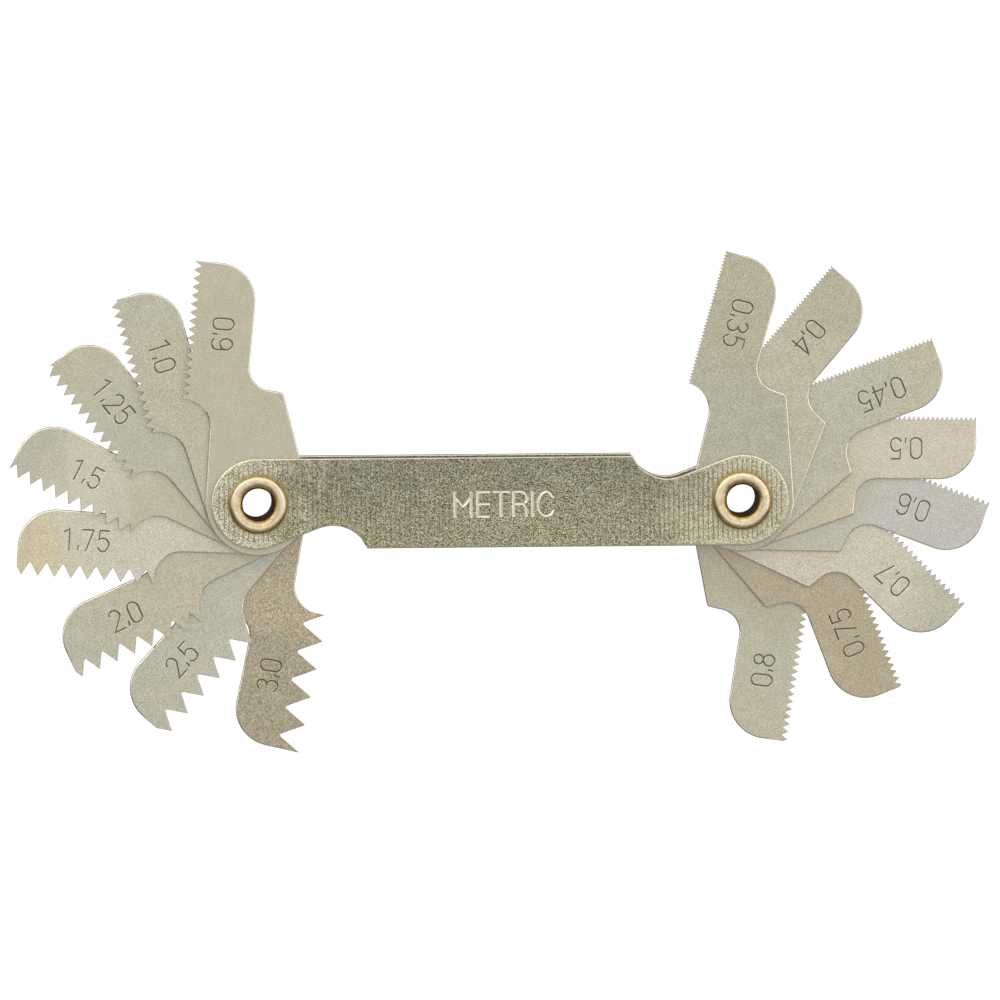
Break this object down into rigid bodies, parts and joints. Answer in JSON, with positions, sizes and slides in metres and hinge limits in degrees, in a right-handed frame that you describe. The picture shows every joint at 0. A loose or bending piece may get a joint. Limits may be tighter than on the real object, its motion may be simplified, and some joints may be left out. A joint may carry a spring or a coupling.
{
  "type": "screw pitch gauge",
  "caption": "Folding metric screw pitch gauge: toothed steel leaves fanned out on two tubular eyelets at the ends of a flat plate handle.",
  "frame": {"origin": "midway between the two eyelets, on the plane that the rear eyelet flanges rest on", "axes": "+X from the left eyelet to the right eyelet, +Y across the plates, +Z out of the marked front plate"},
  "size_m": [0.1034, 0.0527, 0.0074],
  "materials": {
    "front_plate": "khaki passivated, fine ribs, speckled",
    "back_plate": "khaki passivated",
    "left_eyelet": "bright, slightly tarnished",
    "right_eyelet": "bright, slightly tarnished",
    "leaf_0_9": "satin, zinc passivated",
    "leaf_1_0": "satin, zinc passivated",
    "leaf_1_25": "satin, zinc passivated",
    "leaf_1_5": "satin, zinc passivated",
    "leaf_1_75": "satin, zinc passivated",
    "leaf_2_0": "satin, zinc passivated",
    "leaf_2_5": "satin, zinc passivated",
    "leaf_3_0": "satin, zinc passivated",
    "leaf_0_35": "satin, zinc passivated",
    "leaf_0_4": "satin, zinc passivated",
    "leaf_0_45": "satin, zinc passivated",
    "leaf_0_5": "satin, zinc passivated",
    "leaf_0_6": "satin, zinc passivated",
    "leaf_0_7": "satin, zinc passivated",
    "leaf_0_75": "satin, zinc passivated",
    "leaf_0_8": "satin, zinc passivated"
  },
  "bodies": {
    "handle": {"front_plate": "front_plate", "back_plate": "back_plate", "left_eyelet": "left_eyelet", "right_eyelet": "right_eyelet"},
    "leaf_0_9": {"leaf_0_9": "leaf_0_9"},
    "leaf_1_0": {"leaf_1_0": "leaf_1_0"},
    "leaf_1_25": {"leaf_1_25": "leaf_1_25"},
    "leaf_1_5": {"leaf_1_5": "leaf_1_5"},
    "leaf_1_75": {"leaf_1_75": "leaf_1_75"},
    "leaf_2_0": {"leaf_2_0": "leaf_2_0"},
    "leaf_2_5": {"leaf_2_5": "leaf_2_5"},
    "leaf_3_0": {"leaf_3_0": "leaf_3_0"},
    "leaf_0_35": {"leaf_0_35": "leaf_0_35"},
    "leaf_0_4": {"leaf_0_4": "leaf_0_4"},
    "leaf_0_45": {"leaf_0_45": "leaf_0_45"},
    "leaf_0_5": {"leaf_0_5": "leaf_0_5"},
    "leaf_0_6": {"leaf_0_6": "leaf_0_6"},
    "leaf_0_7": {"leaf_0_7": "leaf_0_7"},
    "leaf_0_75": {"leaf_0_75": "leaf_0_75"},
    "leaf_0_8": {"leaf_0_8": "leaf_0_8"}
  },
  "joints": [
    {"name": "leaf_0_9_pivot", "type": "hinge", "parent": "handle", "child": "leaf_0_9", "pos_m": [-0.0255, 0, 0.00367], "axis": [0, 0, 1], "range_deg": [-96.4, 263.6]},
    {"name": "leaf_1_0_pivot", "type": "hinge", "parent": "handle", "child": "leaf_1_0", "pos_m": [-0.0255, 0, 0.00367], "axis": [0, 0, 1], "range_deg": [-117.9, 242.1]},
    {"name": "leaf_1_25_pivot", "type": "hinge", "parent": "handle", "child": "leaf_1_25", "pos_m": [-0.0255, 0, 0.00367], "axis": [0, 0, 1], "range_deg": [-139.5, 220.5]},
    {"name": "leaf_1_5_pivot", "type": "hinge", "parent": "handle", "child": "leaf_1_5", "pos_m": [-0.0255, 0, 0.00367], "axis": [0, 0, 1], "range_deg": [-164.4, 195.6]},
    {"name": "leaf_1_75_pivot", "type": "hinge", "parent": "handle", "child": "leaf_1_75", "pos_m": [-0.0255, 0, 0.00367], "axis": [0, 0, 1], "range_deg": [-187.6, 172.4]},
    {"name": "leaf_2_0_pivot", "type": "hinge", "parent": "handle", "child": "leaf_2_0", "pos_m": [-0.0255, 0, 0.00367], "axis": [0, 0, 1], "range_deg": [-215.5, 144.5]},
    {"name": "leaf_2_5_pivot", "type": "hinge", "parent": "handle", "child": "leaf_2_5", "pos_m": [-0.0255, 0, 0.00367], "axis": [0, 0, 1], "range_deg": [-239.6, 120.4]},
    {"name": "leaf_3_0_pivot", "type": "hinge", "parent": "handle", "child": "leaf_3_0", "pos_m": [-0.0255, 0, 0.00367], "axis": [0, 0, 1], "range_deg": [-270.1, 89.9]},
    {"name": "leaf_0_35_pivot", "type": "hinge", "parent": "handle", "child": "leaf_0_35", "pos_m": [0.0255, 0, 0.00367], "axis": [0, 0, 1], "range_deg": [-266.2, 93.8]},
    {"name": "leaf_0_4_pivot", "type": "hinge", "parent": "handle", "child": "leaf_0_4", "pos_m": [0.0255, 0, 0.00367], "axis": [0, 0, 1], "range_deg": [-241.4, 118.6]},
    {"name": "leaf_0_45_pivot", "type": "hinge", "parent": "handle", "child": "leaf_0_45", "pos_m": [0.0255, 0, 0.00367], "axis": [0, 0, 1], "range_deg": [-212.4, 147.6]},
    {"name": "leaf_0_5_pivot", "type": "hinge", "parent": "handle", "child": "leaf_0_5", "pos_m": [0.0255, 0, 0.00367], "axis": [0, 0, 1], "range_deg": [-191.1, 168.9]},
    {"name": "leaf_0_6_pivot", "type": "hinge", "parent": "handle", "child": "leaf_0_6", "pos_m": [0.0255, 0, 0.00367], "axis": [0, 0, 1], "range_deg": [-171.1, 188.9]},
    {"name": "leaf_0_7_pivot", "type": "hinge", "parent": "handle", "child": "leaf_0_7", "pos_m": [0.0255, 0, 0.00367], "axis": [0, 0, 1], "range_deg": [-146.8, 213.2]},
    {"name": "leaf_0_75_pivot", "type": "hinge", "parent": "handle", "child": "leaf_0_75", "pos_m": [0.0255, 0, 0.00367], "axis": [0, 0, 1], "range_deg": [-122.7, 237.3]},
    {"name": "leaf_0_8_pivot", "type": "hinge", "parent": "handle", "child": "leaf_0_8", "pos_m": [0.0255, 0, 0.00367], "axis": [0, 0, 1], "range_deg": [-92.9, 267.1]}
  ]
}
